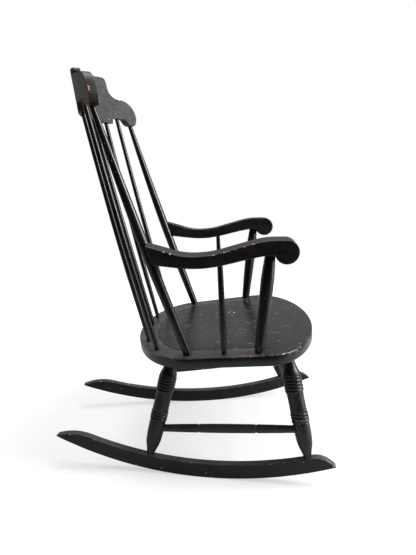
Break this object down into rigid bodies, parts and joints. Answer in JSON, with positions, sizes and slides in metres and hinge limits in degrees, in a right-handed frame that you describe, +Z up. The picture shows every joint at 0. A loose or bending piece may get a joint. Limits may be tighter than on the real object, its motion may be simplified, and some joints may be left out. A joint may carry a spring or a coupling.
{
  "type": "boston rocking chair",
  "caption": "Wooden rocking chair with a spindle back, bent crest rail, scrolled arms, rolled plank seat, turned legs and stretchers, on two curved rockers.",
  "frame": {"origin": "on the floor, at the bottom centre of the chair's bounding box", "axes": "+Z up, -Y towards the front of the chair, -X towards the sitter's right"},
  "size_m": [0.606, 0.8002, 1.078],
  "materials": {
    "black_paint": "satin black paint over red-brown, worn through at the edges",
    "bare_wood": "bare wood pin, cut flush",
    "steel": "dark, a little dull"
  },
  "bodies": {
    "root": {"seat": "black_paint", "front_leg_right": "black_paint", "front_leg_left": "black_paint", "rear_leg_right": "black_paint", "rear_leg_left": "black_paint", "rocker_right": "black_paint", "rocker_left": "black_paint", "front_foot_peg_right": "black_paint", "front_foot_peg_left": "black_paint", "rear_foot_peg_right": "black_paint", "rear_foot_peg_left": "black_paint", "side_stretcher_right": "black_paint", "side_stretcher_left": "black_paint", "front_stretcher": "black_paint", "rear_stretcher": "black_paint", "crest_rail": "black_paint", "back_post_right": "black_paint", "back_post_left": "black_paint", "back_spindle_1": "black_paint", "back_spindle_2": "black_paint", "back_spindle_3": "black_paint", "back_spindle_4": "black_paint", "back_spindle_5": "black_paint", "back_spindle_6": "black_paint", "crest_pin_right": "bare_wood", "crest_pin_left": "bare_wood", "arm_right": "black_paint", "arm_left": "black_paint", "arm_post_right": "black_paint", "arm_post_left": "black_paint", "arm_spindle_right": "black_paint", "arm_spindle_left": "black_paint", "arm_screw_right": "steel", "arm_screw_left": "steel"}
  },
  "joints": []
}
